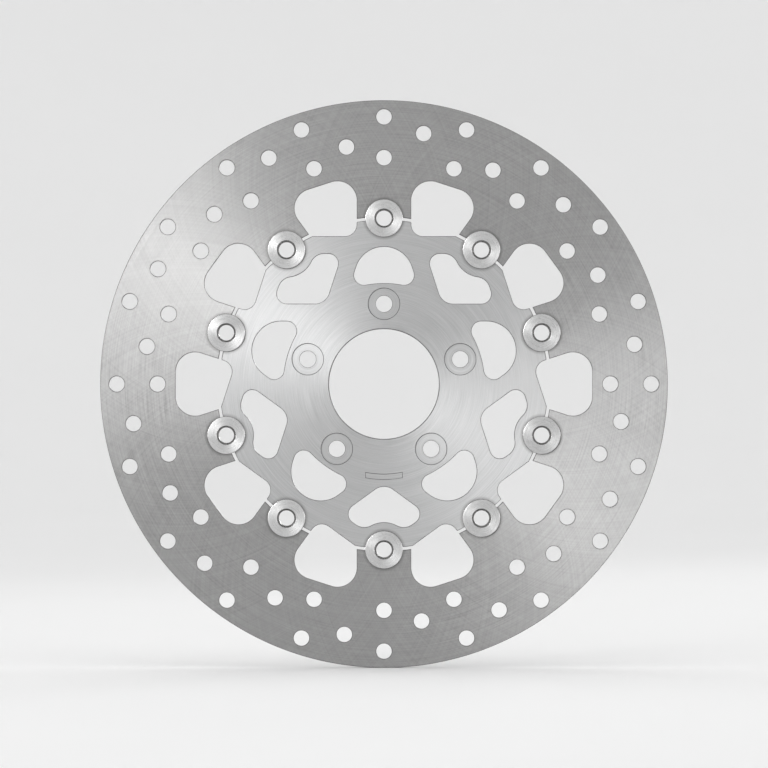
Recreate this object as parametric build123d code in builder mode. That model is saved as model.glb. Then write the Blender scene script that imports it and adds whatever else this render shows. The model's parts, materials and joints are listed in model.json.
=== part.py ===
from build123d import *
from math import acos, cos, degrees, hypot, isclose, radians, sin
import os

# Floating front brake disc for a motorcycle: a drilled steel friction band carried on an aluminium
# carrier by ten drive bobbins. Each bobbin is held at the back by a disc spring, a flat washer and a
# retaining ring, so the band can shift a little on the carrier.
#
# Frame: the disc stands upright and turns about Y. Its outboard face looks along -Y, the mounting face
# of the carrier lies in the plane y = 0 and the origin is the centre of the hub bore in that plane.
# +Z runs through one bolt hole and one bobbin. A height h is measured from the mounting face towards
# the outboard side, so it lies at y = -h. Angles run from +X towards +Z.

# ---- friction band ----
BAND_DIAMETER = 292.0
BAND_THICKNESS = 5.0
BAND_REAR = 1.0            # height of the inboard face of the band
RING_GAP = 1.6             # radial gap between the band and the carrier
EDGE_CHAMFER = 0.3         # on every edge of the band's and the carrier's flat faces

COOLING_HOLE_DIAMETER = 8.0
MAIN_ROWS = (137.5, 116.5)         # circle radii of the two full rows of holes
STAGGERED_ROWS = (123.5, 130.5)    # circle radii that the holes between them take by turns
HOLES_PER_ROW = 20

BAND_WINDOW_SIDE = 14.0    # from each bobbin radial to the nearer side of a band window
BAND_WINDOW_TOP = 107.2    # from the centre to the outer side of a band window
BAND_WINDOW_CORNER = 10.0

# ---- drive bobbins ----
BOBBIN_COUNT = 10
BOBBIN_CIRCLE = 170.6      # pitch circle diameter
BODY_DIAMETER = 14.0
FLANGE_DIAMETER = 19.5
FLANGE_THICKNESS = 1.5
FLANGE_EDGE = 0.3
BOBBIN_BORE = 8.0
BOBBIN_MOUTH = 10.0        # diameter of the countersink in the flange
REAR_CHAMFER = 0.4
POCKET_CLEARANCE = 0.1     # radial clearance of a bobbin body in its half-round pockets
SEAT_CLEARANCE = 0.02      # axial clearance between faces that rest on each other and turn

# ---- hardware behind each bobbin ----
SPRING_OUTER = 19.0
SPRING_INNER = 14.4
SPRING_THICKNESS = 0.5
SPRING_HEIGHT = 0.9        # overall height of the coned disc, fitted
WASHER_OUTER = 18.5
WASHER_THICKNESS = 0.8
BORE_CLEARANCE = 0.1       # radial clearance of the flat washer on the bobbin body
GROOVE_DIAMETER = 13.4
GROOVE_WIDTH = 1.1
RING_THICKNESS = 1.0
RING_WALL = 1.9            # widest radial wall of the retaining ring, opposite its gap
RING_WALL_AT_GAP = 1.3
RING_GAP_WIDTH = 2.4
LUG_LENGTH = 3.0           # radial length of the two lugs beside the gap
LUG_WIDTH = 2.6
LUG_HOLE = 1.4
LUG_CORNER = 0.5
LUG_GAP_HALF_ANGLE = 20.0  # from the middle of the gap to the middle of a lug
STEM_LENGTH = 0.6          # of the bobbin behind the groove
RING_TURN = 47.0           # the gap of each ring lies this much further round than the last one's

# ---- carrier ----
CARRIER_THICKNESS = 6.0    # at the hub
HUB_BORE = 56.5
HUB_FACE_DIAMETER = 101.0  # raised mounting face around the bolt holes
HUB_CHAMFER = 0.5
BOLT_COUNT = 5
BOLT_CIRCLE = 82.5
BOLT_HOLE = 8.5
SPOT_FACE_DIAMETER = 16.0
SPOT_FACE_DEPTH = 1.0
CARRIER_FLAT = 76.05       # from the centre to the five straight sides
EAR_HALF_WIDTH = 14.05
EAR_ROOT_FILLET = 6.0
EAR_TIP_FILLET = 0.5

MOON_TOP_RADIUS = 15.1     # half-moon windows, one outside each bolt hole
MOON_TOP_CENTRE = 55.5
MOON_SIDE_NORMAL = 18.0
MOON_BOTTOM_RADIUS = 51.9
MOON_CORNER = 5.1

KIDNEY_TOP_SIDE = 67.0     # kidney windows, one inside each bobbin that lies between two bolts
KIDNEY_LOWER_SIDE = 41.3
KIDNEY_SLOPE = 36.0
KIDNEY_RELIEF = 14.15      # hollow side, concentric with the bobbin
KIDNEY_LOBE = 7.4
KIDNEY_END = 5.1
KIDNEY_BOTTOM = 7.7

PAD_INNER_RADIUS = 46.2    # shallow blank recess for a marking, below the bore
PAD_OUTER_RADIUS = 49.3
PAD_LENGTH = 19.3
PAD_DEPTH = 0.3

# ---- worked out from the dimensions above ----
bobbin_circle_radius = BOBBIN_CIRCLE / 2
bobbin_pitch = 360 / BOBBIN_COUNT
bolt_pitch = 360 / BOLT_COUNT
band_inner_radius = bobbin_circle_radius + RING_GAP / 2
carrier_outer_radius = bobbin_circle_radius - RING_GAP / 2
pocket_radius = BODY_DIAMETER / 2 + POCKET_CLEARANCE
front_height = BAND_REAR + BAND_THICKNESS
seat_thickness = CARRIER_THICKNESS - BAND_REAR
flange_seat = front_height + SEAT_CLEARANCE
spring_front = BAND_REAR - SEAT_CLEARANCE
spring_rear = spring_front - SPRING_HEIGHT
washer_rear = spring_rear - WASHER_THICKNESS
groove_rear = washer_rear - GROOVE_WIDTH
bobbin_rear = groove_rear - STEM_LENGTH
ring_inner = GROOVE_DIAMETER / 2 + SEAT_CLEARANCE
ring_outer = ring_inner + (RING_WALL + RING_WALL_AT_GAP) / 2


def disc_plane(height):
    """Sketch plane parallel to the disc. Its x is +X, its y is +Z, and an extrusion goes outboard."""
    return Plane.XZ.offset(height)


def hardware_plane(centre):
    """Sketch plane through a bobbin's axis. Its x is the distance from the axis, its y the height."""
    return Plane(origin=(centre.X, 0, centre.Y), x_dir=(1, 0, 0), z_dir=(0, 0, -1))


def hardware_axis(centre):
    """The axis of a bobbin."""
    return Axis((centre.X, 0, centre.Y), (0, 1, 0))


def circles(edges, radius):
    """Those of the edges that are arcs or circles of one radius."""
    return edges.filter_by(GeomType.CIRCLE).filter_by(lambda e: isclose(e.radius, radius, abs_tol=0.001))


def lug_places():
    """The two lugs of a retaining ring, beside a gap on the +X side."""
    return PolarLocations(ring_inner + LUG_LENGTH / 2, 2, start_angle=-LUG_GAP_HALF_ANGLE,
                          angular_range=2 * LUG_GAP_HALF_ANGLE, endpoint=True)


def write_part(builder, name):
    """Label a finished piece and write it under that name."""
    builder.part.label = name
    export_step(builder.part, f"parts/{name}.step")


# Outlines of the windows. Each is drawn on the +Y radial of its sketch and turned into place.
with BuildSketch() as band_window:
    # Both sides run parallel to the radial of the bobbin beside them, so the window widens outwards.
    half_pitch = radians(bobbin_pitch / 2)
    corner_x = (BAND_WINDOW_TOP * sin(half_pitch) - BAND_WINDOW_SIDE) / cos(half_pitch)
    tip_y = BAND_WINDOW_SIDE / sin(half_pitch)
    with BuildLine():
        Polyline((0, tip_y), (corner_x, BAND_WINDOW_TOP), (-corner_x, BAND_WINDOW_TOP), close=True)
    make_face()
    fillet(band_window.vertices().group_by(Axis.Y)[-1], BAND_WINDOW_CORNER)

with BuildSketch() as half_moon:
    side_distance = MOON_TOP_CENTRE * sin(radians(MOON_SIDE_NORMAL)) + MOON_TOP_RADIUS
    corner_angle = MOON_SIDE_NORMAL + degrees(acos(side_distance / MOON_BOTTOM_RADIUS))
    with BuildLine():
        top = CenterArc((0, MOON_TOP_CENTRE), MOON_TOP_RADIUS, MOON_SIDE_NORMAL, 180 - 2 * MOON_SIDE_NORMAL)
        bottom = CenterArc((0, 0), MOON_BOTTOM_RADIUS, corner_angle, 180 - 2 * corner_angle)
        Line(top @ 0, bottom @ 0)
        Line(top @ 1, bottom @ 1)
    make_face()
    fillet(half_moon.vertices().group_by(Axis.Y)[0], MOON_CORNER)

with BuildSketch() as kidney:
    # A rhombus, hollowed where it comes near the bobbin, with every corner rounded.
    slope = radians(KIDNEY_SLOPE)
    half_width = (KIDNEY_TOP_SIDE - KIDNEY_LOWER_SIDE) / (2 * sin(slope))
    lower_y = KIDNEY_LOWER_SIDE / cos(slope)
    upper_y = KIDNEY_TOP_SIDE / cos(slope)
    middle_y = (lower_y + upper_y) / 2
    with BuildLine():
        Polyline((0, lower_y), (half_width, middle_y), (0, upper_y), (-half_width, middle_y), close=True)
    make_face()
    with Locations((0, bobbin_circle_radius)):
        Circle(KIDNEY_RELIEF, mode=Mode.SUBTRACT)
    fillet(kidney.vertices().group_by(Axis.Y)[0], KIDNEY_BOTTOM)
    fillet(kidney.vertices().filter_by(lambda v: isclose(abs(v.X), half_width, abs_tol=0.01)), KIDNEY_END)
    fillet(kidney.vertices().group_by(Axis.Y)[-1], KIDNEY_LOBE)

os.makedirs("parts", exist_ok=True)

# ---- friction band ----
with BuildPart() as brake_band:
    with BuildSketch(disc_plane(BAND_REAR)):
        Circle(BAND_DIAMETER / 2)
        Circle(band_inner_radius, mode=Mode.SUBTRACT)
        with PolarLocations(bobbin_circle_radius, BOBBIN_COUNT, start_angle=90):
            Circle(pocket_radius, mode=Mode.SUBTRACT)
        with PolarLocations(0, BOBBIN_COUNT, start_angle=bobbin_pitch / 2):
            add(band_window.sketch, mode=Mode.SUBTRACT)
    extrude(amount=BAND_THICKNESS)

    hole_pitch = 360 / HOLES_PER_ROW
    with Locations(disc_plane(front_height)):
        for row_radius in MAIN_ROWS:
            with PolarLocations(row_radius, HOLES_PER_ROW, start_angle=90):
                Hole(COOLING_HOLE_DIAMETER / 2)
        for turn, row_radius in enumerate(STAGGERED_ROWS):
            with PolarLocations(row_radius, HOLES_PER_ROW // 2, start_angle=90 + (turn + 0.5) * hole_pitch):
                Hole(COOLING_HOLE_DIAMETER / 2)
    chamfer(brake_band.faces().filter_by(Axis.Y).edges(), EDGE_CHAMFER)
write_part(brake_band, "brake_band")

# ---- carrier ----
with BuildPart() as carrier:
    with BuildSketch(disc_plane(BAND_REAR)) as plate:
        RegularPolygon(CARRIER_FLAT, BOLT_COUNT, major_radius=False, rotation=90 - bolt_pitch / 2)
        with PolarLocations(0, BOLT_COUNT):
            Rectangle(2 * EAR_HALF_WIDTH, bobbin_circle_radius, align=(Align.CENTER, Align.MIN))
        root_radius = hypot(EAR_HALF_WIDTH, CARRIER_FLAT)
        fillet(plate.vertices().filter_by(lambda v: isclose(Vector(v).length, root_radius, abs_tol=0.01)),
               EAR_ROOT_FILLET)
        Circle(carrier_outer_radius, mode=Mode.INTERSECT)
        fillet(plate.vertices().filter_by(
            lambda v: isclose(Vector(v).length, carrier_outer_radius, abs_tol=0.01)), EAR_TIP_FILLET)
        with PolarLocations(bobbin_circle_radius, BOBBIN_COUNT, start_angle=90):
            Circle(pocket_radius, mode=Mode.SUBTRACT)
        with PolarLocations(0, BOLT_COUNT):
            add(half_moon.sketch, mode=Mode.SUBTRACT)
        with PolarLocations(0, BOLT_COUNT, start_angle=bolt_pitch / 2):
            add(kidney.sketch, mode=Mode.SUBTRACT)
    extrude(amount=seat_thickness)
    with BuildSketch(disc_plane(0)):
        Circle(HUB_FACE_DIAMETER / 2)
    extrude(amount=BAND_REAR)

    with Locations(disc_plane(CARRIER_THICKNESS)):
        Hole(HUB_BORE / 2)
        with PolarLocations(BOLT_CIRCLE / 2, BOLT_COUNT, start_angle=90):
            CounterBoreHole(BOLT_HOLE / 2, SPOT_FACE_DIAMETER / 2, SPOT_FACE_DEPTH)
    chamfer(circles(carrier.edges(), HUB_BORE / 2), HUB_CHAMFER)
    # The spot faces lie between the front face and the rear face, and keep their inner corners.
    flats = carrier.faces().filter_by(Axis.Y).sort_by(Axis.Y)
    front_face, rear_face, hub_face = flats[0], flats[-2], flats[-1]
    broken = front_face.edges() + rear_face.edges() + hub_face.edges()
    kept = circles(broken, HUB_BORE / 2 + HUB_CHAMFER) + circles(rear_face.edges(), HUB_FACE_DIAMETER / 2)
    chamfer(broken - kept, EDGE_CHAMFER)

    with BuildSketch(disc_plane(CARRIER_THICKNESS)):
        Circle(PAD_OUTER_RADIUS)
        Circle(PAD_INNER_RADIUS, mode=Mode.SUBTRACT)
        Rectangle(PAD_LENGTH, PAD_OUTER_RADIUS, align=(Align.CENTER, Align.MAX), mode=Mode.INTERSECT)
    extrude(amount=-PAD_DEPTH, mode=Mode.SUBTRACT)
write_part(carrier, "carrier")

# ---- bobbins and the hardware behind them ----
for index in range(BOBBIN_COUNT):
    number = f"{index + 1:02d}"
    bearing = radians(90 - index * bobbin_pitch)
    centre = Vector(bobbin_circle_radius * cos(bearing), bobbin_circle_radius * sin(bearing))

    with BuildPart() as bobbin:
        with BuildSketch(hardware_plane(centre)) as section:
            with Locations((0, bobbin_rear)):
                Rectangle(BODY_DIAMETER / 2, flange_seat - bobbin_rear, align=Align.MIN)
            with Locations((0, flange_seat)):
                Rectangle(FLANGE_DIAMETER / 2, FLANGE_THICKNESS, align=Align.MIN)
            chamfer(section.vertices().group_by(Axis.X)[-1], FLANGE_EDGE)
            chamfer(section.vertices().group_by(Axis.Y)[0].sort_by(Axis.X)[-1], REAR_CHAMFER)
            with Locations((GROOVE_DIAMETER / 2, groove_rear)):
                Rectangle(BODY_DIAMETER, GROOVE_WIDTH, align=Align.MIN, mode=Mode.SUBTRACT)
            with Locations((0, bobbin_rear)):
                Rectangle(BOBBIN_BORE / 2, FLANGE_DIAMETER, align=Align.MIN, mode=Mode.SUBTRACT)
            chamfer(section.vertices().group_by(Axis.X)[0].sort_by(Axis.Y)[-1],
                    (BOBBIN_MOUTH - BOBBIN_BORE) / 2)
        revolve(axis=hardware_axis(centre))
    write_part(bobbin, f"bobbin_{number}")

    with BuildPart() as spring_washer:
        with BuildSketch(hardware_plane(centre)):
            cone = SPRING_HEIGHT - SPRING_THICKNESS
            with BuildLine():
                Polyline((SPRING_INNER / 2, spring_rear),
                         (SPRING_OUTER / 2, spring_rear + cone),
                         (SPRING_OUTER / 2, spring_front),
                         (SPRING_INNER / 2, spring_front - cone), close=True)
            make_face()
        revolve(axis=hardware_axis(centre))
    write_part(spring_washer, f"spring_washer_{number}")

    with BuildPart() as flat_washer:
        with BuildSketch(disc_plane(washer_rear)):
            with Locations(centre):
                Circle(WASHER_OUTER / 2)
                Circle(BODY_DIAMETER / 2 + BORE_CLEARANCE, mode=Mode.SUBTRACT)
        extrude(amount=WASHER_THICKNESS)
    write_part(flat_washer, f"flat_washer_{number}")

    with BuildPart() as retaining_ring:
        gap_angle = 90 + index * RING_TURN
        with BuildSketch(disc_plane(washer_rear - RING_THICKNESS)):
            with Locations(Location(centre, gap_angle)):
                with Locations((-(RING_WALL - RING_WALL_AT_GAP) / 2, 0)):
                    Circle(ring_outer)
                with lug_places():
                    RectangleRounded(LUG_LENGTH, LUG_WIDTH, LUG_CORNER)
                Circle(ring_inner, mode=Mode.SUBTRACT)
                with lug_places():
                    Circle(LUG_HOLE / 2, mode=Mode.SUBTRACT)
                with Locations((ring_outer, 0)):
                    Rectangle(ring_outer, RING_GAP_WIDTH, mode=Mode.SUBTRACT)
        extrude(amount=RING_THICKNESS)
    write_part(retaining_ring, f"retaining_ring_{number}")
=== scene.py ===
import json
from collections import namedtuple
from math import acos, atan2, ceil, cos, hypot, pi, radians, sin, sqrt

import bmesh
import bpy
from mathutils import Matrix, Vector
from mathutils.geometry import delaunay_2d_cdt


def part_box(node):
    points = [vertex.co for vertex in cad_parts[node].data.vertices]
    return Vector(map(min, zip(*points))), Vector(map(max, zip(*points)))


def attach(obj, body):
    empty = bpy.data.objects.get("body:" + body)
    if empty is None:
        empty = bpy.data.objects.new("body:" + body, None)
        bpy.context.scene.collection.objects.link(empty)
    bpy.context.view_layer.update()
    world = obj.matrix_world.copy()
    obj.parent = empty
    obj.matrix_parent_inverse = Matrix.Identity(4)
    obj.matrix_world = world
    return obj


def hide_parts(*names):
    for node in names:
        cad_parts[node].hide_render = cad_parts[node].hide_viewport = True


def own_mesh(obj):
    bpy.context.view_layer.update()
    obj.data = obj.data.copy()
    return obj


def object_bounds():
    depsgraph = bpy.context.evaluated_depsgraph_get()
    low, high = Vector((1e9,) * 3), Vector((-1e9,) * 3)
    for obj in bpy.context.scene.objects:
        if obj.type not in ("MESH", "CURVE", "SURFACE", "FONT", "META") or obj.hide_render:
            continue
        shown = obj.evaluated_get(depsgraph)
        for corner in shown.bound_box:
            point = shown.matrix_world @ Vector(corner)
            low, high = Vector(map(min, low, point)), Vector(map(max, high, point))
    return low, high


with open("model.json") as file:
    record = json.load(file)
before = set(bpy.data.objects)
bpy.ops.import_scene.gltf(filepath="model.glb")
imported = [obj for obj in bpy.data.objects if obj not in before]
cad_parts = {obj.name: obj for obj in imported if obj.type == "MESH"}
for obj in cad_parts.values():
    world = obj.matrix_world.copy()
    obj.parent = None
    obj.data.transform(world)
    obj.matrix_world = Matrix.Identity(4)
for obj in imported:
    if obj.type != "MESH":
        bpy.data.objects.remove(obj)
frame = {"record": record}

cad_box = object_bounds()

# A floating brake disc, upright, turning about Y, with its outboard face towards -Y. Outlines are drawn
# in millimetres as seen from the outboard side, across along X and up along Z, and heights are measured
# from the mounting face of the carrier towards the outboard side, so a height lies at -Y.
MM = 0.001
CHORD_ERROR = 0.006        # mm, how far a drawn arc may leave the true one

mounts = {mount["name"]: mount for mount in frame["record"]["mounts"]}
bolt_circle_radius = mounts["hub_bolts"]["dims"]["pcd_mm"] / 2
bolt_hole_radius = mounts["hub_bolts"]["dims"]["hole_r_mm"]
bolt_count = mounts["hub_bolts"]["dims"]["count"]
hub_bore_radius = mounts["hub_bore"]["dims"]["r_mm"]


def heights(node):
    """The rear and front heights of a CAD node, in millimetres."""
    low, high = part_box(node)
    return -high.y / MM, -low.y / MM


band_rear, band_front = heights("brake_band")
carrier_rear, carrier_front = heights("carrier")
bobbin_rear, bobbin_front = heights("bobbin_01")
washer_rear, washer_front = heights("flat_washer_01")
spring_rear, spring_front = heights("spring_washer_01")
ring_rear, ring_front = heights("retaining_ring_01")

BAND_RADIUS = 146.0
EDGE_CHAMFER = 0.3
HUB_CHAMFER = 0.5
COOLING_HOLE_RADIUS = 4.0
# each row of holes: its radius, the angle of its first hole from the top, and how many there are
COOLING_ROWS = (
    (137.5, radians(0.0), 20),
    (116.5, radians(0.0), 20),
    (123.5, radians(9.0), 10),
    (130.5, radians(27.0), 10),
)
BOBBIN_COUNT = 10
BOBBIN_CIRCLE_RADIUS = 85.3
HALF_RING_GAP = 0.8
POCKET_RADIUS = 7.1 + CHORD_ERROR    # so that its chords clear the bobbin at the end of its play
BAND_WINDOW_SIDE = 14.0
BAND_WINDOW_TOP = 107.2
BAND_WINDOW_CORNER = 10.0

CARRIER_FLAT = 76.05
EAR_HALF_WIDTH = 14.05
EAR_ROOT_FILLET = 6.0
EAR_TIP_FILLET = 0.5
HUB_FACE_RADIUS = 50.5
SPOT_FACE_RADIUS = 8.0
SPOT_FACE_DEPTH = 1.0
SEAT_EDGE = 0.2            # broken edge of the hole in its spot face
MOON_TOP_RADIUS = 15.1
MOON_TOP_CENTRE = 55.5
MOON_BOTTOM_RADIUS = 51.9
MOON_SIDE_NORMAL = radians(18.0)
MOON_CORNER = 5.1
KIDNEY_TOP_SIDE = 67.0
KIDNEY_LOWER_SIDE = 41.3
KIDNEY_SLOPE = radians(36.0)
KIDNEY_RELIEF = 14.15
KIDNEY_LOBE = 7.4
KIDNEY_END = 5.1
KIDNEY_BOTTOM = 7.7
PAD_INNER_RADIUS = 46.2
PAD_OUTER_RADIUS = 49.3
PAD_HALF_LENGTH = 9.65
PAD_DEPTH = 0.3
PAD_DRAFT = 0.3            # how far the recess's side slopes in

BODY_RADIUS = 7.0
FLANGE_RADIUS = 9.75
FLANGE_THICKNESS = 1.5
BOBBIN_BORE_RADIUS = 4.0
BOBBIN_MOUTH_RADIUS = 5.0
GROOVE_RADIUS = 6.7
GROOVE_WIDTH = 1.1
SOFT_EDGE = 0.2            # edge radius of the turned parts
TIGHT_EDGE = 0.05          # edge radius in their grooves and corners
STAMPED_EDGE = 0.1         # broken edge of the stamped parts
LUG_HOLE_EDGE = 0.05       # broken edge of the hole in a lug
BORE_CLEARANCE = 0.1       # between a washer and the bobbin's body
WASHER_RADIUS = 9.25
SPRING_INNER_RADIUS = 7.2
SPRING_OUTER_RADIUS = 9.5
SPRING_THICKNESS = 0.5
RING_INNER = 6.72
RING_OUTER = 8.32          # about a centre that lies off the bobbin's axis
RING_SHIFT = 0.3           # by this much, away from the ring's gap
RING_GAP_WIDTH = 2.4
RING_TURN = radians(47.0)  # from the gap of one ring to the gap of the next
LUG_ANGLE = radians(20.0)  # from the middle of the gap to the middle of a lug
LUG_LENGTH = 3.0
LUG_WIDTH = 2.6
LUG_CORNER = 0.5
LUG_HOLE_RADIUS = 0.7

band_inner_radius = BOBBIN_CIRCLE_RADIUS + HALF_RING_GAP
carrier_radius = BOBBIN_CIRCLE_RADIUS - HALF_RING_GAP
bobbin_pitch = 2 * pi / BOBBIN_COUNT
bolt_pitch = 2 * pi / bolt_count


# ---- outlines ----
# An outline is a closed belt round a row of rollers. It goes anticlockwise round a roller whose turn is
# 1 and clockwise round one whose turn is -1, and runs straight between them. A roller of no radius is
# a sharp corner.
Roller = namedtuple("Roller", "x y radius turn", defaults=(0.0, 1))
FULL_TURN_ERROR = 1e-3     # rad, an arc this near a full turn has no length
SAME_POINT = 1e-4          # mm


def turned_point(x, y, angle):
    """A point turned about the disc's centre."""
    return x * cos(angle) - y * sin(angle), x * sin(angle) + y * cos(angle)


def turned(rollers, angle):
    """Rollers turned about the disc's centre."""
    return [Roller(*turned_point(r.x, r.y, angle), r.radius, r.turn) for r in rollers]


def mirrored(rollers):
    """Rollers mirrored in the upward radial, in the order that carries the belt on."""
    return [Roller(-r.x, r.y, r.radius, r.turn) for r in reversed(rollers)]


def heading(a, b):
    """Direction of the belt's straight run from roller a to roller b."""
    step = b.radius * b.turn - a.radius * a.turn
    run = sqrt(max((b.x - a.x) ** 2 + (b.y - a.y) ** 2 - step ** 2, 0.0))
    return atan2(b.y - a.y, b.x - a.x) - atan2(step, run)


def arc_steps(radius, sweep):
    """How many equal steps an arc takes."""
    return max(1, ceil(abs(sweep) / (2 * acos(1 - min(CHORD_ERROR / radius, 1)))))


def belt(rollers):
    """Points of the outline round the rollers."""
    points = []
    for before, roller, after in zip(rollers[-1:] + rollers[:-1], rollers, rollers[1:] + rollers[:1]):
        if roller.radius == 0:
            points.append((roller.x, roller.y))
            continue
        start, end = heading(before, roller), heading(roller, after)
        sweep = ((end - start) * roller.turn) % (2 * pi)
        if sweep > 2 * pi - FULL_TURN_ERROR:
            sweep = 0.0
        steps = arc_steps(roller.radius, sweep)
        for i in range(steps + 1):
            angle = start + roller.turn * (sweep * i / steps - pi / 2)
            points.append((roller.x + roller.radius * cos(angle), roller.y + roller.radius * sin(angle)))
    return without_doubles(points)


def without_doubles(points):
    """The points of a closed outline, leaving out any that lies on the one before it."""
    pairs = zip(points, points[-1:] + points[:-1])
    return [p for p, q in pairs if hypot(p[0] - q[0], p[1] - q[1]) > SAME_POINT]


def circle(x, y, radius):
    """Points of a full circle."""
    steps = arc_steps(radius, 2 * pi)
    angles = [2 * pi * i / steps for i in range(steps)]
    return [(x + radius * cos(a), y + radius * sin(a)) for a in angles]


def rounded(corners):
    """Points of a polygon given anticlockwise as (x, y, corner radius)."""
    rollers = []
    for before, corner, after in zip(corners[-1:] + corners[:-1], corners, corners[1:] + corners[:1]):
        x, y, radius = corner
        into = Vector((x - before[0], y - before[1])).normalized()
        out = Vector((after[0] - x, after[1] - y)).normalized()
        turn = 1 if into.cross(out) > 0 else -1
        inward = (out - into).normalized()
        half = acos(max(-1.0, min(1.0, -into.dot(out)))) / 2
        reach = radius / sin(half)
        rollers.append(Roller(x + inward.x * reach, y + inward.y * reach, radius, turn))
    return belt(rollers)


def grown(points, distance):
    """A closed anticlockwise outline moved outwards by a distance, with mitred corners."""
    moved = []
    for before, point, after in zip(points[-1:] + points[:-1], points, points[1:] + points[:1]):
        into = Vector((point[0] - before[0], point[1] - before[1])).normalized()
        out = Vector((after[0] - point[0], after[1] - point[1])).normalized()
        across = Vector((into.y + out.y, -into.x - out.x))
        across *= 2 * distance / across.length_squared
        moved.append((point[0] + across.x, point[1] + across.y))
    return moved


# ---- meshes ----
FILL_WITH_HOLES = 2        # the triangulation's mode that leaves its inner outlines open
FILL_TOLERANCE = 1e-5      # mm
HOLD = 0.03                # mm, from the end of a flat run to the point that holds it flat
TURN_STEPS = 96            # round a turned part and round the stage
SHARP_ANGLE = radians(30)  # edges sharper than this aren't smoothed over


class Shell:
    """A closed mesh made of rings of points at set heights, walls between rings and flat faces."""

    def __init__(self):
        self.mesh = bmesh.new()

    def ring(self, points, height):
        return [self.mesh.verts.new((x * MM, -height * MM, z * MM)) for x, z in points]

    def wall(self, *rings):
        """Joins each ring to the next and returns the first and the last."""
        for a, b in zip(rings, rings[1:]):
            for i in range(len(a)):
                self.mesh.faces.new((a[i - 1], a[i], b[i], b[i - 1]))
        return rings[0], rings[-1]

    def face(self, rings):
        """Fills the flat area between one outer ring and the rings of its holes."""
        points, outlines = [], []
        for ring in rings:
            outlines.append(range(len(points), len(points) + len(ring)))
            points += ring
        flat = [Vector((point.co.x, point.co.z)) / MM for point in points]
        _, _, triangles, sources, _, _ = delaunay_2d_cdt(
            flat, [], outlines, FILL_WITH_HOLES, FILL_TOLERANCE)
        for triangle in triangles:
            self.mesh.faces.new([points[sources[corner][0]] for corner in triangle])

    def piece(self, name, body, node, material):
        """The finished object, standing for a CAD node and riding on its body."""
        bmesh.ops.recalc_face_normals(self.mesh, faces=self.mesh.faces[:])
        data = bpy.data.meshes.new(name)
        self.mesh.to_mesh(data)
        self.mesh.free()
        data.shade_smooth()
        data.set_sharp_from_angle(angle=SHARP_ANGLE)
        data.materials.append(material)
        made = bpy.data.objects.new(name, data)
        bpy.context.scene.collection.objects.link(made)
        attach(made, body)
        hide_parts(node)
        return made


def chamfered_wall(shell, points, rear, front, chamfer):
    """A wall with both edges chamfered. A positive chamfer opens outwards, as at a hole, and a negative
    one closes inwards, as on a rim."""
    return shell.wall(
        shell.ring(grown(points, chamfer), rear),
        shell.ring(points, rear + abs(chamfer)),
        shell.ring(points, front - abs(chamfer)),
        shell.ring(grown(points, chamfer), front),
    )


def held(points):
    """A closed outline with a point put in close to each end of its long straight runs, so that a flat
    face stays flat up to the rounding beside it."""
    held_points = []
    for point, after in zip(points, points[1:] + points[:1]):
        held_points.append(point)
        run = hypot(after[0] - point[0], after[1] - point[1])
        if run > 4 * HOLD:
            for part in (HOLD / run, 1 - HOLD / run):
                held_points.append((point[0] + (after[0] - point[0]) * part,
                                    point[1] + (after[1] - point[1]) * part))
    return held_points


def lathed(shell, profile, x, z):
    """A profile of (radius, height) turned about the axis of a bobbin."""
    turns = [2 * pi * i / TURN_STEPS for i in range(TURN_STEPS)]
    rings = []
    for r, h in held(profile):
        rings.append(shell.ring([(x + r * cos(a), z + r * sin(a)) for a in turns], h))
    shell.wall(*rings, rings[0])


# ---- the friction band ----
def pocket_mouth(edge_radius):
    """The sharp corner on the right of the top bobbin's pocket, on an edge round the disc's centre."""
    y = edge_radius ** 2 + BOBBIN_CIRCLE_RADIUS ** 2 - POCKET_RADIUS ** 2
    y /= 2 * BOBBIN_CIRCLE_RADIUS
    return Roller(sqrt(edge_radius ** 2 - y ** 2), y)


def band_opening():
    """The inner edge of the band: a pocket for each bobbin and a window on each side of it."""
    half = bobbin_pitch / 2
    corner_y = sqrt(band_inner_radius ** 2 - BAND_WINDOW_SIDE ** 2)
    # the window's corner circle touches the side beside this bobbin and the outer side of the window
    reach_x = BAND_WINDOW_SIDE + BAND_WINDOW_CORNER
    reach = BAND_WINDOW_TOP - BAND_WINDOW_CORNER
    corner = Roller(reach_x, (reach - reach_x * sin(half)) / cos(half), BAND_WINDOW_CORNER)
    side = Roller(BAND_WINDOW_SIDE, corner_y)
    mouth = pocket_mouth(band_inner_radius)
    edge = Roller(0, 0, band_inner_radius)
    pocket = Roller(0, BOBBIN_CIRCLE_RADIUS, POCKET_RADIUS)
    right = [corner, side, edge, mouth]
    whole = right + [pocket] + mirrored(right)
    rollers = []
    for index in range(BOBBIN_COUNT):
        rollers += turned(whole, index * bobbin_pitch)
    return belt(rollers)


def friction_band(material):
    shell = Shell()
    walls = [
        chamfered_wall(shell, circle(0, 0, BAND_RADIUS), band_rear, band_front, -EDGE_CHAMFER),
        chamfered_wall(shell, band_opening(), band_rear, band_front, EDGE_CHAMFER),
    ]
    for row_radius, first, count in COOLING_ROWS:
        for index in range(count):
            x, z = turned_point(0, row_radius, first + index * 2 * pi / count)
            hole = circle(x, z, COOLING_HOLE_RADIUS)
            walls.append(chamfered_wall(shell, hole, band_rear, band_front, EDGE_CHAMFER))
    shell.face([rear for rear, front in walls])
    shell.face([front for rear, front in walls])
    shell.piece("friction_band", "band", "brake_band", material)


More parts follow.
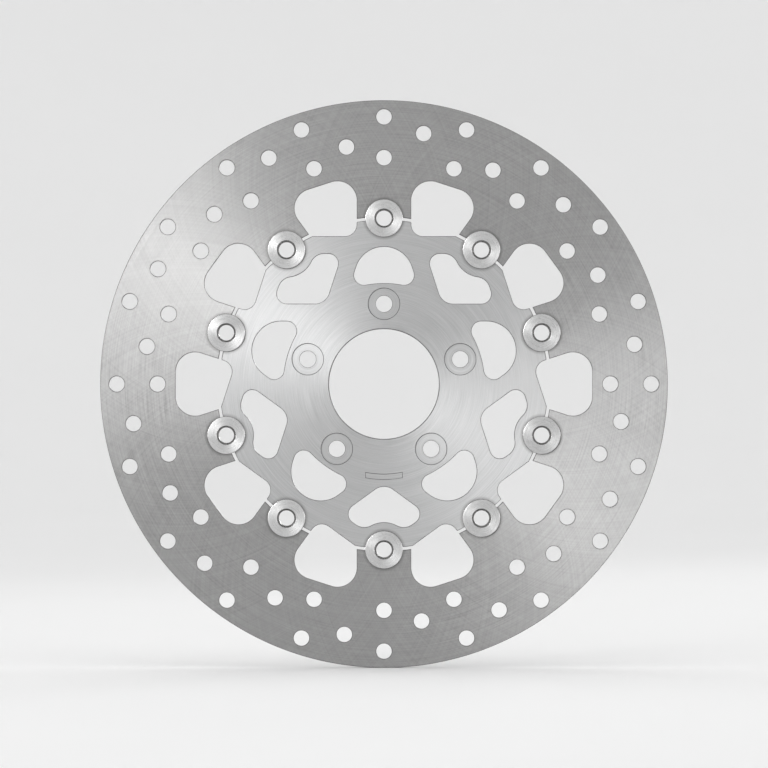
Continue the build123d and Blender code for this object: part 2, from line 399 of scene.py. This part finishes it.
# ---- the carrier ----
def carrier_rim():
    """The carrier's outer edge: a five-sided plate with an ear on each flat and a pocket for each
    bobbin."""
    mouth = pocket_mouth(carrier_radius)
    pocket = Roller(0, BOBBIN_CIRCLE_RADIUS, POCKET_RADIUS, -1)
    edge = Roller(0, 0, carrier_radius)
    inner = carrier_radius - EAR_TIP_FILLET
    root_x, root_y = EAR_HALF_WIDTH + EAR_ROOT_FILLET, CARRIER_FLAT + EAR_ROOT_FILLET
    root = Roller(root_x, root_y, EAR_ROOT_FILLET, -1)
    tip_x = EAR_HALF_WIDTH - EAR_TIP_FILLET
    tip = Roller(tip_x, sqrt(inner ** 2 - tip_x ** 2), EAR_TIP_FILLET)
    ear = [root, tip, edge, mouth]
    flat_y = CARRIER_FLAT - EAR_TIP_FILLET
    corner = Roller(-sqrt(inner ** 2 - flat_y ** 2), flat_y, EAR_TIP_FILLET)
    # the end of a flat, as it lies beside the radial of the bobbin between two ears
    between = [*turned([corner], -bolt_pitch / 2), edge, mouth]
    rollers = []
    for index in range(bolt_count):
        rollers += turned(ear + [pocket] + mirrored(ear), index * bolt_pitch)
        rollers += turned(between + [pocket] + mirrored(between), (index + 0.5) * bolt_pitch)
    return belt(rollers)


def half_moon():
    """The window outside a bolt hole, on the upward radial."""
    side = MOON_TOP_CENTRE * sin(MOON_SIDE_NORMAL) + MOON_TOP_RADIUS - MOON_CORNER
    reach = MOON_BOTTOM_RADIUS + MOON_CORNER
    angle = MOON_SIDE_NORMAL + acos(side / reach)
    corner = Roller(reach * cos(angle), reach * sin(angle), MOON_CORNER)
    top = Roller(0, MOON_TOP_CENTRE, MOON_TOP_RADIUS)
    bottom = Roller(0, 0, MOON_BOTTOM_RADIUS, -1)
    return [corner, top, *mirrored([corner]), bottom]


def kidney():
    """The window inside a bobbin that lies between two bolts, on the upward radial."""
    bottom = Roller(0, (KIDNEY_LOWER_SIDE + KIDNEY_BOTTOM) / cos(KIDNEY_SLOPE), KIDNEY_BOTTOM)
    low, high = KIDNEY_LOWER_SIDE + KIDNEY_END, KIDNEY_TOP_SIDE - KIDNEY_END
    end_x, end_y = (high - low) / (2 * sin(KIDNEY_SLOPE)), (high + low) / (2 * cos(KIDNEY_SLOPE))
    end = Roller(end_x, end_y, KIDNEY_END)
    # the lobe touches the sloping side and the relief circle round the bobbin
    normal = pi / 2 - KIDNEY_SLOPE
    distance = KIDNEY_TOP_SIDE - KIDNEY_LOBE
    foot = BOBBIN_CIRCLE_RADIUS * sin(normal)
    across = BOBBIN_CIRCLE_RADIUS * cos(normal)
    along = across - sqrt((KIDNEY_RELIEF + KIDNEY_LOBE) ** 2 - (foot - distance) ** 2)
    lobe = Roller(distance * cos(normal) - along * sin(normal),
                  distance * sin(normal) + along * cos(normal), KIDNEY_LOBE)
    relief = Roller(0, BOBBIN_CIRCLE_RADIUS, KIDNEY_RELIEF, -1)
    return [bottom, end, lobe, relief, *mirrored([end, lobe])]


def marking_pad():
    """The shallow recess below the bore."""
    outer_y = -sqrt(PAD_OUTER_RADIUS ** 2 - PAD_HALF_LENGTH ** 2)
    inner_y = -sqrt(PAD_INNER_RADIUS ** 2 - PAD_HALF_LENGTH ** 2)
    return belt([
        Roller(-PAD_HALF_LENGTH, inner_y), Roller(-PAD_HALF_LENGTH, outer_y),
        Roller(0, 0, PAD_OUTER_RADIUS),
        Roller(PAD_HALF_LENGTH, outer_y), Roller(PAD_HALF_LENGTH, inner_y),
        Roller(0, 0, PAD_INNER_RADIUS, -1),
    ])


def carrier(material):
    shell = Shell()
    step = band_rear           # behind the windows the carrier is level with the band
    rear, front, hub = [], [], []
    outlines = [(carrier_rim(), -EDGE_CHAMFER)]
    for index in range(bolt_count):
        outlines.append((belt(turned(half_moon(), index * bolt_pitch)), EDGE_CHAMFER))
        outlines.append((belt(turned(kidney(), (index + 0.5) * bolt_pitch)), EDGE_CHAMFER))
    for points, chamfer in outlines:
        back, face = chamfered_wall(shell, points, step, carrier_front, chamfer)
        rear.append(back)
        front.append(face)

    bore = circle(0, 0, hub_bore_radius)
    back, face = chamfered_wall(shell, bore, carrier_rear, carrier_front, HUB_CHAMFER)
    hub.append(back)
    front.append(face)
    for index in range(bolt_count):
        x, z = turned_point(0, bolt_circle_radius, index * bolt_pitch)
        hole, seat = circle(x, z, bolt_hole_radius), circle(x, z, SPOT_FACE_RADIUS)
        floor = carrier_front - SPOT_FACE_DEPTH
        back, top = shell.wall(
            shell.ring(grown(hole, EDGE_CHAMFER), carrier_rear),
            shell.ring(hole, carrier_rear + EDGE_CHAMFER),
            shell.ring(hole, floor - SEAT_EDGE),
            shell.ring(grown(hole, SEAT_EDGE), floor),
        )
        low, face = shell.wall(
            shell.ring(seat, floor),
            shell.ring(seat, carrier_front - EDGE_CHAMFER),
            shell.ring(grown(seat, EDGE_CHAMFER), carrier_front),
        )
        shell.face([top, low])
        hub.append(back)
        front.append(face)

    pad = marking_pad()
    floor, face = shell.wall(shell.ring(grown(pad, -PAD_DRAFT), carrier_front - PAD_DEPTH),
                             shell.ring(pad, carrier_front))
    shell.face([floor])
    front.append(face)

    boss = circle(0, 0, HUB_FACE_RADIUS)
    back, foot = shell.wall(
        shell.ring(grown(boss, -EDGE_CHAMFER), carrier_rear),
        shell.ring(boss, carrier_rear + EDGE_CHAMFER),
        shell.ring(boss, step),
    )
    hub.append(back)
    rear.append(foot)
    for rings in (rear, front, hub):
        shell.face(rings)
    shell.piece("hub_carrier", "carrier", "carrier", material)


# ---- bobbins and the parts behind them ----
def bobbin_centre(index):
    return turned_point(0, BOBBIN_CIRCLE_RADIUS, -index * bobbin_pitch)


def bobbin_profile():
    """Half section of a bobbin as (radius, height), anticlockwise."""
    seat = bobbin_front - FLANGE_THICKNESS
    mouth = BOBBIN_MOUTH_RADIUS - BOBBIN_BORE_RADIUS
    groove_front = ring_rear + GROOVE_WIDTH
    return rounded([
        (BOBBIN_BORE_RADIUS, bobbin_rear, SOFT_EDGE),
        (BODY_RADIUS, bobbin_rear, 2 * SOFT_EDGE),
        (BODY_RADIUS, ring_rear, TIGHT_EDGE),
        (GROOVE_RADIUS, ring_rear, TIGHT_EDGE),
        (GROOVE_RADIUS, groove_front, TIGHT_EDGE),
        (BODY_RADIUS, groove_front, TIGHT_EDGE),
        (BODY_RADIUS, seat, TIGHT_EDGE),
        (FLANGE_RADIUS, seat, SOFT_EDGE),
        (FLANGE_RADIUS, bobbin_front, 2 * SOFT_EDGE),
        (BOBBIN_MOUTH_RADIUS, bobbin_front, SOFT_EDGE),
        (BOBBIN_BORE_RADIUS, bobbin_front - mouth, SOFT_EDGE),
    ])


def drive_bobbin(index, number, material):
    shell = Shell()
    lathed(shell, bobbin_profile(), *bobbin_centre(index))
    shell.piece(f"drive_bobbin_{number}", f"bobbin_{number}", f"bobbin_{number}", material)


def washer(index, number, material):
    shell = Shell()
    inner, outer = BODY_RADIUS + BORE_CLEARANCE, WASHER_RADIUS
    lathed(shell, rounded([
        (inner, washer_rear, STAMPED_EDGE), (outer, washer_rear, STAMPED_EDGE),
        (outer, washer_front, STAMPED_EDGE), (inner, washer_front, STAMPED_EDGE),
    ]), *bobbin_centre(index))
    shell.piece(f"plain_washer_{number}", f"bobbin_{number}", f"flat_washer_{number}",
                material)


def disc_spring(index, number, material):
    """A coned washer, its outer edge against the carrier, which flattens as the band moves outboard."""
    cone = spring_front - spring_rear - SPRING_THICKNESS
    shell = Shell()
    lathed(shell, rounded([
        (SPRING_INNER_RADIUS, spring_rear, STAMPED_EDGE),
        (SPRING_OUTER_RADIUS, spring_rear + cone, STAMPED_EDGE),
        (SPRING_OUTER_RADIUS, spring_front, STAMPED_EDGE),
        (SPRING_INNER_RADIUS, spring_front - cone, STAMPED_EDGE),
    ]), *bobbin_centre(index))
    made = shell.piece(f"disc_spring_{number}", "springs", f"spring_washer_{number}",
                       material)
    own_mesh(made)


def at_lug(along, across):
    """A point of a lug, given from the bobbin's axis along the lug and across it, with the gap at +X."""
    return turned_point(along, across, LUG_ANGLE)


def ring_outline():
    """A retaining ring about the origin, with its gap at +X: anticlockwise outside, clockwise inside."""
    half_gap, half_lug = RING_GAP_WIDTH / 2, LUG_WIDTH / 2
    inner_end = Roller(sqrt(RING_INNER ** 2 - half_gap ** 2), half_gap)
    # the gap's side cuts off a corner of the lug
    cut = (half_gap + half_lug * cos(LUG_ANGLE)) / sin(LUG_ANGLE)
    cut_end = Roller(*at_lug(cut, -half_lug))
    tip, side = RING_INNER + LUG_LENGTH - LUG_CORNER, half_lug - LUG_CORNER
    near, far = Roller(*at_lug(tip, -side), LUG_CORNER), Roller(*at_lug(tip, side), LUG_CORNER)
    # the lug's far side meets the outer circle, whose centre lies off the bobbin's axis
    shift_along = -RING_SHIFT * cos(LUG_ANGLE)
    shift_across = RING_SHIFT * sin(LUG_ANGLE)
    foot = shift_along + sqrt(RING_OUTER ** 2 - (half_lug - shift_across) ** 2)
    upper = [inner_end, cut_end, near, far, Roller(*at_lug(foot, half_lug))]
    lower = [Roller(r.x, -r.y, r.radius, r.turn) for r in reversed(upper)]
    outside, inside = Roller(-RING_SHIFT, 0, RING_OUTER), Roller(0, 0, RING_INNER, -1)
    return belt([*upper, outside, *lower, inside])


def retaining_ring(index, number, material):
    shell = Shell()
    x, z = bobbin_centre(index)
    gap = pi / 2 + index * RING_TURN

    def placed(points):
        points = [turned_point(*point, gap) for point in points]
        return [(x + across, z + up) for across, up in points]

    walls = [chamfered_wall(shell, placed(ring_outline()), ring_rear, ring_front, -STAMPED_EDGE)]
    for way in (-1, 1):
        along, across = at_lug(RING_INNER + LUG_LENGTH / 2, 0)
        hole = placed(circle(along, way * across, LUG_HOLE_RADIUS))
        walls.append(chamfered_wall(shell, hole, ring_rear, ring_front, LUG_HOLE_EDGE))
    shell.face([rear for rear, front in walls])
    shell.face([front for rear, front in walls])
    shell.piece(f"snap_ring_{number}", f"bobbin_{number}", f"retaining_ring_{number}",
                material)


# ---- materials ----
GRAIN_PER_M = 1700.0       # grain lines per metre of radius
GRAIN_ROUND = 5.0          # how often a grain line changes round the disc
WHEEL_DIAMETER = 0.23      # m, of the grinding wheel's arcs
ARC_LINES = 120.0          # how close the arcs lie round the disc
ARC_LENGTHS_PER_M = 25.0   # how often an arc changes along its length
CUT_PER_M = 4200.0         # cut lines per metre round the band's edges
CUT_DRAWN_OUT = 12.0       # how many times longer than wide a cut line is
FACING_PER_M = 3000.0      # tool marks per metre across the carrier's faces
FACING_ROUND = 2.0         # how often a tool mark changes round the disc
CUTTER_PER_M = 3200.0      # cutter lines per metre through the carrier's thickness
CUTTER_ALONG_PER_M = 160.0     # how often a cutter line changes along the wall
PART_WIDTH_MM = 20.0       # about the diameter of a turned part
TURNED_ROUND = 1.2         # how often a turned ring changes round its part
FLAT_FROM, FLAT_TO = 0.80, 0.90    # how squarely a surface faces along the axis to count as a flat face
USUAL_LOW, USUAL_HIGH = 0.3, 0.7   # most of a noise's values lie between these
CLOSE_LOW, CLOSE_HIGH = 0.35, 0.65     # a narrower range, which gives more contrast
QUARTER_TURN = 0.25        # turns the grain from along the radius to round the axis
# painted shade: the ring darkened round each flange is partly settled dust and partly shade under the
# flange
DUST_AND_SHADE_REACH = 1.6           # mm, how far the darker ring spreads round a flange
DUST_AND_SHADE_AMOUNT = 0.55


class Surface:
    """A node material under construction. An input is a plain value or the output of an earlier node."""

    def __init__(self, name):
        self.material = bpy.data.materials.new(name)
        self.material.use_nodes = True
        self.tree = self.material.node_tree
        self.tree.nodes.clear()
        self.coordinates = self.tree.nodes.new("ShaderNodeTexCoord").outputs

    def node(self, kind, inputs, **settings):
        made = self.tree.nodes.new("ShaderNode" + kind)
        for name, value in settings.items():
            setattr(made, name, value)
        for name, value in inputs.items():
            if isinstance(value, bpy.types.NodeSocket):
                self.tree.links.new(value, made.inputs[name])
            else:
                made.inputs[name].default_value = value
        return made

    def math(self, operation, *values):
        return self.node("Math", dict(enumerate(values)), operation=operation).outputs[0]

    def split(self, vector):
        return self.node("SeparateXYZ", {"Vector": vector}).outputs

    def join(self, x, y, z):
        return self.node("CombineXYZ", {"X": x, "Y": y, "Z": z}).outputs[0]

    def noise(self, vector, scale=1.0, detail=3.0, roughness=0.6):
        """Fractal noise, about 0 to 1."""
        inputs = {"Vector": vector, "Scale": scale, "Detail": detail, "Roughness": roughness}
        return self.node("TexNoise", inputs).outputs[0]

    def map(self, value, low, high, to_low, to_high):
        """A value's range mapped to another, and held within it."""
        inputs = {"Value": value, "From Min": low, "From Max": high, "To Min": to_low, "To Max": to_high}
        return self.node("MapRange", inputs).outputs[0]

    def scaled(self, parts, factors):
        """A vector of three parts, each multiplied by its own factor."""
        return self.join(*(self.math("MULTIPLY", part, factor) for part, factor in zip(parts, factors)))

    def vary(self, noise, to_low=0.0, to_high=1.0):
        """The usual values of a noise mapped to a range."""
        return self.map(noise, USUAL_LOW, USUAL_HIGH, to_low, to_high)

    def blend(self, factor, first, second):
        """A colour between two others."""
        made = self.node("Mix", {}, data_type="RGBA")
        sockets = (made.inputs[0], made.inputs[6], made.inputs[7])     # the factor and the two colours
        for socket, value in zip(sockets, (factor, first, second)):
            if isinstance(value, bpy.types.NodeSocket):
                self.tree.links.new(value, socket)
            else:
                socket.default_value = value
        return made.outputs[2]

    def bump(self, height, depth_mm, strength):
        inputs = {"Height": height, "Distance": depth_mm * MM, "Strength": strength}
        return self.node("Bump", inputs).outputs[0]

    def square(self, value):
        return self.math("MULTIPLY", value, value)

    def length(self, across, up):
        """Length of the line whose two parts these are."""
        return self.math("SQRT", self.math("ADD", self.square(across), self.square(up)))

    def either(self, factor, low, high):
        """A value between two others, the first where the factor is 0 and the second where it is 1."""
        rest = self.math("SUBTRACT", 1.0, factor)
        return self.math("ADD", self.math("MULTIPLY", factor, high), self.math("MULTIPLY", rest, low))

    def polar(self, vector, centre=(0.0, 0.0)):
        """Distance from the axis through a centre, and the sine and cosine of the angle round it."""
        x, _, z = self.split(vector)
        x = self.math("SUBTRACT", x, centre[0])
        z = self.math("SUBTRACT", z, centre[1])
        radius = self.length(x, z)
        return radius, self.math("DIVIDE", z, radius), self.math("DIVIDE", x, radius)

    def nearest(self, radius, sine, cosine, circle_mm, count):
        """Distance from the nearest of the axes set evenly round the disc, one of them at the top."""
        pitch = 2 * pi / count
        angle = self.math("SUBTRACT", self.math("ARCTAN2", sine, cosine), pi / 2)
        whole = self.math("ROUND", self.math("DIVIDE", angle, pitch))
        angle = self.math("SUBTRACT", angle, self.math("MULTIPLY", whole, pitch))
        along = self.math("MULTIPLY", radius, self.math("COSINE", angle))
        across = self.math("MULTIPLY", radius, self.math("SINE", angle))
        return self.length(self.math("SUBTRACT", along, circle_mm * MM), across)

    def facing(self):
        """1 on faces square to the disc's axis and 0 on walls."""
        _, y, _ = self.split(self.coordinates["Normal"])
        return self.map(self.math("ABSOLUTE", y), FLAT_FROM, FLAT_TO, 0.0, 1.0)

    def grained(self, amount):
        """The shader inputs of a surface whose grain runs round the axis."""
        tangent = self.node("Tangent", {}, direction_type="RADIAL", axis="Y").outputs[0]
        return {"Anisotropic": amount, "Anisotropic Rotation": QUARTER_TURN, "Tangent": tangent}

    def finish(self, colour, roughness, more, metallic=1.0):
        """The finished material, with any other inputs of its shader in more."""
        inputs = {"Base Color": colour, "Roughness": roughness, "Metallic": metallic}
        shader = self.node("BsdfPrincipled", inputs | more).outputs[0]
        self.node("OutputMaterial", {"Surface": shader})
        return self.material


def grey(level, warmth=0.0):
    """A near-neutral colour, warmer above 0 and cooler below."""
    return level * (1 + warmth), level, level * (1 - warmth), 1.0


def flange_dust_and_shade(s, colour, radius, sine, cosine):
    """Darkens a colour a little close round each bobbin's flange: partly dust that settles there, partly
    painted shade in the corner where the flange stands on the plate.
    """
    distance = s.nearest(radius, sine, cosine, BOBBIN_CIRCLE_RADIUS, BOBBIN_COUNT)
    near = s.map(distance, FLANGE_RADIUS * MM, (FLANGE_RADIUS + DUST_AND_SHADE_REACH) * MM, DUST_AND_SHADE_AMOUNT, 0.0)
    dust_and_shade_grey = grey(0.16, 0.02)
    return s.blend(near, colour, dust_and_shade_grey)


def ground_steel():
    """Stainless band: ground flat, with crossing arcs over a fine concentric grain, and cut on its
    edges."""
    s = Surface("ground_steel")
    place = s.coordinates["Object"]
    radius, sine, cosine = s.polar(place)

    # fine concentric grain: stretched along the circle, changing quickly with the radius
    grain = s.noise(s.scaled((radius, sine, cosine), (GRAIN_PER_M, GRAIN_ROUND, GRAIN_ROUND)))

    # arcs of the grinding wheel, which pass near the centre, one set each way
    bend = s.math("ARCSINE", s.math("DIVIDE", radius, WHEEL_DIAMETER))
    angle = s.math("ARCTAN2", sine, cosine)
    sweeps = []
    for way in ("ADD", "SUBTRACT"):
        turn = s.math(way, angle, bend)
        line = s.scaled((s.math("SINE", turn), s.math("COSINE", turn), radius),
                        (ARC_LINES, ARC_LINES, ARC_LENGTHS_PER_M))
        sweeps.append(s.noise(line, detail=2.0, roughness=0.55))
    arcs = s.math("ADD", *sweeps)

    broad = s.noise(place, scale=14.0)
    flat = s.facing()
    # the walls were cut through the thickness, which leaves fine lines across it
    cut = s.noise(s.scaled(s.split(place), (CUT_PER_M, CUT_PER_M / CUT_DRAWN_OUT, CUT_PER_M)))

    tone = s.map(s.math("ADD", s.math("MULTIPLY", arcs, 0.5), grain), 0.7, 1.3, 0.0, 1.0)
    face_colour = s.blend(tone, grey(0.29, 0.008), grey(0.42, 0.004))
    face_colour = s.blend(s.vary(broad, 0.0, 0.35), face_colour, grey(0.34, -0.004))
    # painted shade: the walls and chamfers are darker than the faces, partly the tone of the cut edge
    # and partly shade that draws the outlines
    cut_and_shaded_wall_colour = s.blend(s.vary(cut), grey(0.18, 0.010), grey(0.31, 0.006))
    colour = flange_dust_and_shade(s, s.blend(flat, cut_and_shaded_wall_colour, face_colour), radius, sine, cosine)

    face_rough = s.math("ADD", s.vary(grain, 0.31, 0.41), s.vary(broad, -0.02, 0.04))
    rough = s.either(flat, s.vary(cut, 0.36, 0.50), face_rough)
    face_height = s.math("ADD", grain, s.math("MULTIPLY", arcs, 0.6))
    height = s.either(flat, s.math("MULTIPLY", cut, 2.0), face_height)
    normal = s.bump(height, depth_mm=0.012, strength=0.5)
    return s.finish(colour, rough, {"Normal": normal, **s.grained(0.85)})


def anodised_aluminium():
    """Carrier plate: faced on a lathe, cut out with an end mill, spot-faced and clear anodised."""
    s = Surface("anodised_aluminium")
    place = s.coordinates["Object"]
    radius, sine, cosine = s.polar(place)
    flat = s.facing()
    # tool marks run round the bore, and round each bolt hole on its own seat
    about_bolt = s.nearest(radius, sine, cosine, bolt_circle_radius, bolt_count)
    seat = s.math("LESS_THAN", about_bolt, SPOT_FACE_RADIUS * MM)
    faced_from = s.either(seat, radius, about_bolt)
    marks = s.noise(s.scaled((faced_from, sine, cosine), (FACING_PER_M, FACING_ROUND, FACING_ROUND)))
    grit = s.noise(place, scale=5200.0, roughness=0.65)
    broad = s.noise(place, scale=22.0, roughness=0.55)
    # cutter lines on the milled walls of the windows
    milled = s.scaled(s.split(place), (CUTTER_ALONG_PER_M, CUTTER_PER_M, CUTTER_ALONG_PER_M))
    cutter = s.noise(milled, detail=2.0, roughness=0.5)

    mix = s.math("ADD", s.math("MULTIPLY", grit, 0.35), s.math("MULTIPLY", marks, 0.65))
    close = s.map(mix, CLOSE_LOW, CLOSE_HIGH, 0.0, 1.0)
    face_colour = s.blend(close, grey(0.39, -0.006), grey(0.53, -0.004))
    face_colour = s.blend(s.map(broad, CLOSE_LOW, CLOSE_HIGH, 0.0, 0.35), face_colour, grey(0.44, 0.002))
    # painted shade: the milled walls and chamfers are darker than the faces, partly the tone of the cut
    # and partly shade that draws the outlines
    cut_and_shaded_wall_colour = s.blend(s.vary(cutter), grey(0.18, -0.004), grey(0.30, -0.002))
    colour = flange_dust_and_shade(s, s.blend(flat, cut_and_shaded_wall_colour, face_colour), radius, sine, cosine)
    rough = s.math("ADD", s.vary(mix, 0.30, 0.42), s.vary(broad, -0.03, 0.03))
    face_height = s.math("ADD", s.math("MULTIPLY", grit, 0.35), marks)
    height = s.either(flat, cutter, face_height)
    normal = s.bump(height, depth_mm=0.010, strength=0.6)
    return s.finish(colour, rough, {"Normal": normal, **s.grained(0.6)})


def turned_metal(name, dark, light, roughness, grain_mm):
    """A small part turned on a lathe: fine rings round its own axis."""
    s = Surface(name)
    # the generated coordinates run from 0 to 1 across each part, so its axis is at the middle
    radius, sine, cosine = s.polar(s.coordinates["Generated"], (0.5, 0.5))
    _, y, _ = s.split(s.coordinates["Object"])
    along = s.math("ADD", s.math("MULTIPLY", radius, PART_WIDTH_MM / grain_mm),
                   s.math("MULTIPLY", y, 1 / (grain_mm * MM)))
    rings = s.noise(s.scaled((along, sine, cosine), (1.0, TURNED_ROUND, TURNED_ROUND)))
    patch = s.noise(s.coordinates["Object"], scale=260.0)
    colour = s.blend(s.vary(rings), dark, light)
    colour = s.blend(s.map(patch, CLOSE_LOW, USUAL_HIGH, 0.0, 0.25), colour, dark)
    # painted shade: edges and walls are darker than the faces, to draw the parts' outlines
    colour = s.blend(s.facing(), s.blend(rings, grey(0.20, 0.01), grey(0.34, 0.01)), colour)
    rough = s.math("ADD", s.vary(rings, roughness - 0.04, roughness + 0.04),
                   s.vary(patch, -0.02, 0.05))
    normal = s.bump(rings, depth_mm=0.006, strength=0.5)
    return s.finish(colour, rough, {"Normal": normal, **s.grained(0.6)})


def zinc_plate():
    """Bright zinc with the faint clouding of the passivation."""
    s = Surface("zinc_plate")
    place = s.coordinates["Object"]
    cloud = s.noise(place, scale=320.0, detail=4.0)
    fine = s.noise(place, scale=4200.0, detail=2.0)
    colour = s.blend(s.vary(cloud), grey(0.62, -0.02), grey(0.76))
    rough = s.math("ADD", s.vary(cloud, 0.26, 0.40), s.vary(fine, -0.02, 0.04))
    return s.finish(colour, rough, {"Normal": s.bump(fine, depth_mm=0.006, strength=0.5)})


def black_phosphate():
    """Phosphated spring steel: a fine crystalline dark coat."""
    s = Surface("black_phosphate")
    place = s.coordinates["Object"]
    crystal = s.noise(place, scale=6500.0, roughness=0.7)
    patch = s.noise(place, scale=420.0)
    colour = s.blend(s.vary(patch), grey(0.045), grey(0.085, -0.01))
    rough = s.math("ADD", s.vary(crystal, 0.42, 0.58), s.vary(patch, -0.04, 0.04))
    normal = s.bump(crystal, depth_mm=0.008, strength=0.7)
    return s.finish(colour, rough, {"Normal": normal}, metallic=0.6)


def spring_steel():
    """Tempered spring strip: grey with a faint straw tint."""
    s = Surface("spring_steel")
    place = s.coordinates["Object"]
    patch = s.noise(place, scale=380.0)
    fine = s.noise(place, scale=3800.0, detail=2.0)
    colour = s.blend(s.vary(patch), grey(0.34, 0.05), grey(0.44, 0.01))
    rough = s.vary(fine, 0.28, 0.40)
    return s.finish(colour, rough, {"Normal": s.bump(fine, depth_mm=0.006, strength=0.5)})


# ---- stage, lights and camera ----
STAGE_RADIUS = 10.0        # m
STAGE_CURVE = 6.2          # m, radius of the curve between the floor and the wall
STAGE_HEIGHT = 8.5         # m
CURVE_STEPS = 32
LIGHT_SPREAD = radians(50)
LENS = 300.0               # mm
VIEW_WIDTH = 0.39505       # m across the picture at the outboard face
floor_level = cad_box[0].z


def studio():
    """A pale round stage whose floor curves up into its wall, so that no horizon shows from any side."""
    shell = bmesh.new()
    profile = [(STAGE_RADIUS - STAGE_CURVE, 0.0)]
    for i in range(1, CURVE_STEPS + 1):
        a = pi / 2 * i / CURVE_STEPS
        profile.append((STAGE_RADIUS - STAGE_CURVE * (1 - sin(a)), STAGE_CURVE * (1 - cos(a))))
    profile.append((STAGE_RADIUS, STAGE_HEIGHT))
    turns = [2 * pi * i / TURN_STEPS for i in range(TURN_STEPS)]
    rings = []
    for r, h in profile:
        rings.append([shell.verts.new((r * cos(a), r * sin(a), floor_level + h)) for a in turns])
    shell.faces.new(rings[0])
    for a, b in zip(rings, rings[1:]):
        for i in range(TURN_STEPS):
            shell.faces.new((a[i - 1], b[i - 1], b[i], a[i]))
    data = bpy.data.meshes.new("studio")
    shell.to_mesh(data)
    shell.free()
    data.shade_smooth()
    paint = Surface("studio_paint")
    tint = paint.noise(paint.coordinates["Object"], scale=2.0, detail=2.0, roughness=0.5)
    colour = paint.blend(tint, grey(0.87), grey(0.89))
    data.materials.append(paint.finish(colour, 0.9, {"Specular IOR Level": 0.0}, metallic=0.0))
    made = bpy.data.objects.new("studio", data)
    bpy.context.scene.collection.objects.link(made)


def soft_light(name, place, size, power):
    """A square soft box aimed at the disc, not seen by the camera itself. Metres and watts."""
    data = bpy.data.lights.new(name, "AREA")
    data.shape = "SQUARE"
    data.size = size
    data.energy = power
    data.spread = LIGHT_SPREAD
    made = bpy.data.objects.new(name, data)
    made.location = place
    made.rotation_euler = (-Vector(place)).to_track_quat("-Z", "Y").to_euler()
    made.visible_camera = False
    bpy.context.scene.collection.objects.link(made)


def world_light(level):
    world = bpy.data.worlds.new("studio_air")
    world.use_nodes = True
    background = world.node_tree.nodes["Background"]
    background.inputs["Color"].default_value = grey(1.0)
    background.inputs["Strength"].default_value = level
    bpy.context.scene.world = world


def camera():
    """Straight on to the outboard face, from far enough away to look like an elevation."""
    data = bpy.data.cameras.new("camera")
    data.lens = LENS
    data.clip_end = 100.0      # m, past the stage's wall
    made = bpy.data.objects.new("camera", data)
    distance = VIEW_WIDTH * data.lens / data.sensor_width
    made.location = (0.0, -band_front * MM - distance, 0.0)
    made.rotation_euler = (pi / 2, 0.0, 0.0)
    bpy.context.scene.collection.objects.link(made)
    bpy.context.scene.camera = made


camera()
studio()
world_light(level=1.0)
for name, side in (("front", -1), ("back", 1)):
    soft_light(name + "_key", place=(side * 0.9, side * 3.0, 0.55), size=0.5, power=1.2)
    soft_light(name + "_left", place=(-2.3, side * 2.3, 0.25), size=0.8, power=1.4)
    soft_light(name + "_right", place=(2.3, side * 2.3, 0.25), size=0.8, power=1.4)

friction_band(ground_steel())
carrier(anodised_aluminium())
bobbin_metal = turned_metal("turned_steel", grey(0.50), grey(0.64), roughness=0.26, grain_mm=0.16)
zinc, phosphate, spring = zinc_plate(), black_phosphate(), spring_steel()
for index in range(BOBBIN_COUNT):
    number = f"{index + 1:02d}"
    drive_bobbin(index, number, bobbin_metal)
    washer(index, number, zinc)
    retaining_ring(index, number, phosphate)
    disc_spring(index, number, spring)

bpy.context.scene.view_settings.view_transform = "Standard"
